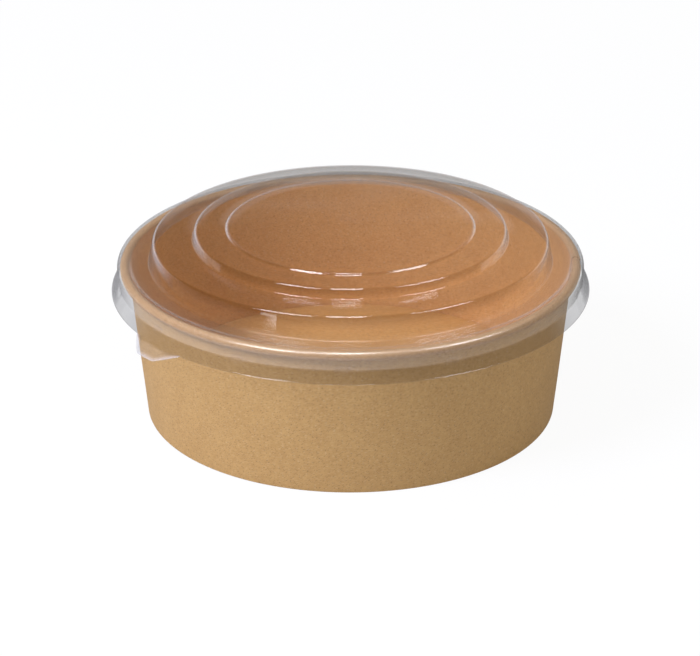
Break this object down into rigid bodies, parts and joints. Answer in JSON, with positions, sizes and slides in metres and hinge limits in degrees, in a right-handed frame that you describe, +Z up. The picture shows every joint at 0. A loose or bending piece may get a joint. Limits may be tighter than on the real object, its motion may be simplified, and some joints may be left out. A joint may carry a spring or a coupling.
{
  "type": "paper bowl with lid",
  "caption": "Round tapered kraft paper bowl with a rolled rim and a recessed bottom, closed by a clear ringed snap-fit lid with a pull tab.",
  "frame": {"origin": "centre of the foot ring, on the surface that the bowl stands on", "axes": "+Z up the bowl's axis towards the lid; the lid's pull tab points towards -X and -Y; the wall's lap seam is 3 degrees from +X towards +Y"},
  "size_m": [0.192, 0.192, 0.0777],
  "materials": {
    "kraft_wall": "uncoated kraft board outside, faintly satin barrier coat inside",
    "kraft_base": "kraft board with a faintly satin barrier coat on the food side",
    "clear_film": "clear glossy drawn film"
  },
  "bodies": {
    "bowl": {"side_wall": "kraft_wall", "bottom_disc": "kraft_base"},
    "lid": {"lid": "clear_film"}
  },
  "joints": [
    {"name": "lid_lift", "type": "slide", "parent": "bowl", "child": "lid", "axis": [0, 0, 1], "range_m": [0, 0.04]}
  ]
}
